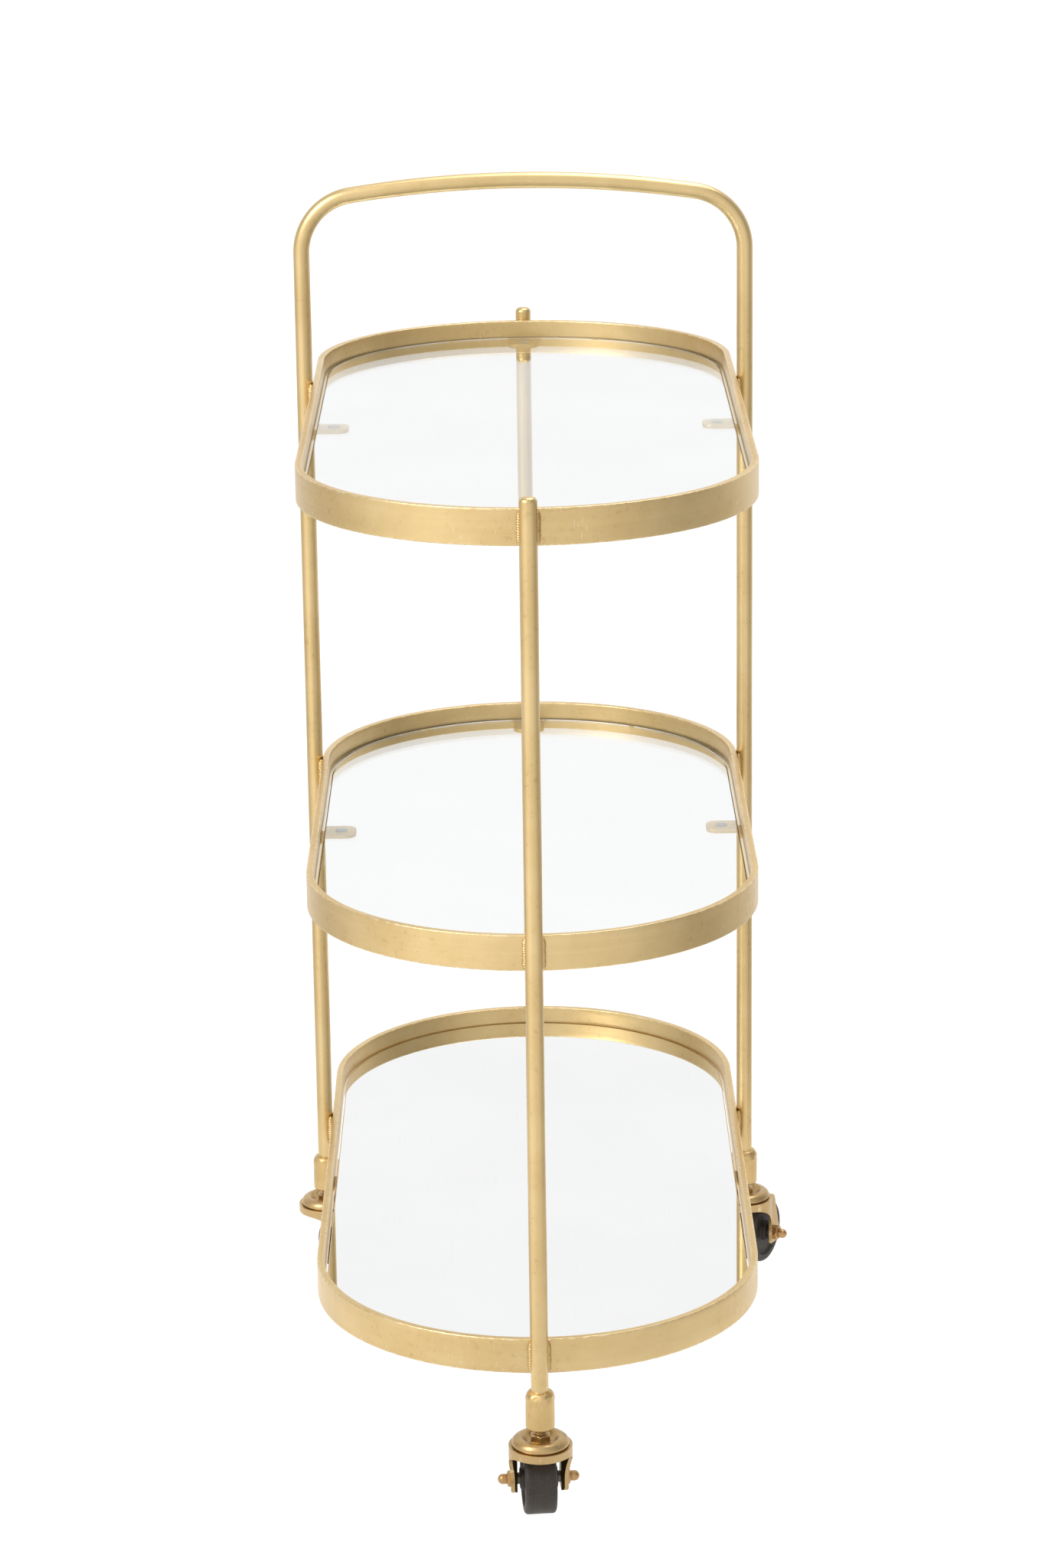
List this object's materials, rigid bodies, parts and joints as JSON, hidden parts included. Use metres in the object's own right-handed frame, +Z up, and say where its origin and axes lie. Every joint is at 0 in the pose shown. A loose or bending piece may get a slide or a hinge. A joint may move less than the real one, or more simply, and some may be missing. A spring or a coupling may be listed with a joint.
{
  "type": "bar cart",
  "caption": "Bar cart with slot-shaped brass-finish shelf rings on rod legs, lift-out glass shelves, a mirror base shelf, an arched handle and swivel casters.",
  "frame": {"origin": "floor level, midway between the front and rear legs and between the two side legs", "axes": "+Z up, +X across the cart to the right, -Y towards the front end, +Y towards the rear end, where the handle is nearer"},
  "size_m": [0.3841, 0.758, 0.8669],
  "materials": {
    "frame_brass": "satin brushed antique brass, lacquered",
    "tab_brass": "satin antique brass",
    "weld_brass": "ground weld under the brass finish",
    "caster_brass": "satin cast and pressed brass finish",
    "axle_steel": "oiled dark steel",
    "wheel_black": "hard black-brown tread, scuffed",
    "clear_glass": "clear float glass with ground edges",
    "mirror_glass": "silvered plate mirror with ground edges",
    "clear_pad": "clear soft cushion"
  },
  "bodies": {
    "frame": {"top_ring": "frame_brass", "middle_ring": "frame_brass", "bottom_ring": "frame_brass", "top_tabs": "tab_brass", "middle_tabs": "tab_brass", "bottom_tabs": "tab_brass", "top_welds": "weld_brass", "middle_welds": "weld_brass", "bottom_welds": "weld_brass", "top_pads": "clear_pad", "middle_pads": "clear_pad", "bottom_pads": "clear_pad", "front_leg": "frame_brass", "rear_leg": "frame_brass", "handle_frame": "frame_brass", "front_socket": "frame_brass", "front_stem": "caster_brass", "front_cup": "caster_brass", "rear_socket": "frame_brass", "rear_stem": "caster_brass", "rear_cup": "caster_brass", "left_socket": "frame_brass", "left_stem": "caster_brass", "left_cup": "caster_brass", "right_socket": "frame_brass", "right_stem": "caster_brass", "right_cup": "caster_brass"},
    "top_shelf": {"top_glass": "clear_glass"},
    "middle_shelf": {"middle_glass": "clear_glass"},
    "bottom_shelf": {"bottom_mirror": "mirror_glass"},
    "front_caster": {"front_fork": "caster_brass", "front_balls": "axle_steel", "front_axle": "axle_steel", "front_nuts": "caster_brass", "front_bush": "axle_steel"},
    "front_wheel": {"front_wheel": "wheel_black"},
    "rear_caster": {"rear_fork": "caster_brass", "rear_balls": "axle_steel", "rear_axle": "axle_steel", "rear_nuts": "caster_brass", "rear_bush": "axle_steel"},
    "rear_wheel": {"rear_wheel": "wheel_black"},
    "left_caster": {"left_fork": "caster_brass", "left_balls": "axle_steel", "left_axle": "axle_steel", "left_nuts": "caster_brass", "left_bush": "axle_steel"},
    "left_wheel": {"left_wheel": "wheel_black"},
    "right_caster": {"right_fork": "caster_brass", "right_balls": "axle_steel", "right_axle": "axle_steel", "right_nuts": "caster_brass", "right_bush": "axle_steel"},
    "right_wheel": {"right_wheel": "wheel_black"}
  },
  "joints": [
    {"name": "top_shelf_lift", "type": "slide", "parent": "frame", "child": "top_shelf", "axis": [0, 0, 1], "range_m": [0, 0.04]},
    {"name": "middle_shelf_lift", "type": "slide", "parent": "frame", "child": "middle_shelf", "axis": [0, 0, 1], "range_m": [0, 0.04]},
    {"name": "bottom_shelf_lift", "type": "slide", "parent": "frame", "child": "bottom_shelf", "axis": [0, 0, 1], "range_m": [0, 0.04]},
    {"name": "front_swivel", "type": "hinge", "parent": "frame", "child": "front_caster", "pos_m": [0, -0.357, 0.0584], "axis": [0, 0, 1], "continuous": true},
    {"name": "front_roll", "type": "hinge", "parent": "front_caster", "child": "front_wheel", "pos_m": [-0.00157, -0.33907, 0.025], "axis": [0.9962, 0.0872, 0], "continuous": true},
    {"name": "rear_swivel", "type": "hinge", "parent": "frame", "child": "rear_caster", "pos_m": [0, 0.357, 0.0584], "axis": [0, 0, 1], "continuous": true},
    {"name": "rear_roll", "type": "hinge", "parent": "rear_caster", "child": "rear_wheel", "pos_m": [0.00466, 0.33961, 0.025], "axis": [-0.9659, -0.2588, 0], "continuous": true},
    {"name": "left_swivel", "type": "hinge", "parent": "frame", "child": "left_caster", "pos_m": [-0.164, 0.1, 0.0584], "axis": [0, 0, 1], "continuous": true},
    {"name": "left_roll", "type": "hinge", "parent": "left_caster", "child": "left_wheel", "pos_m": [-0.14617, 0.1025, 0.025], "axis": [0.1392, -0.9903, 0], "continuous": true},
    {"name": "right_swivel", "type": "hinge", "parent": "frame", "child": "right_caster", "pos_m": [0.164, 0.1, 0.0584], "axis": [0, 0, 1], "continuous": true},
    {"name": "right_roll", "type": "hinge", "parent": "right_caster", "child": "right_wheel", "pos_m": [0.173, 0.11559, 0.025], "axis": [0.866, -0.5, 0], "continuous": true}
  ]
}
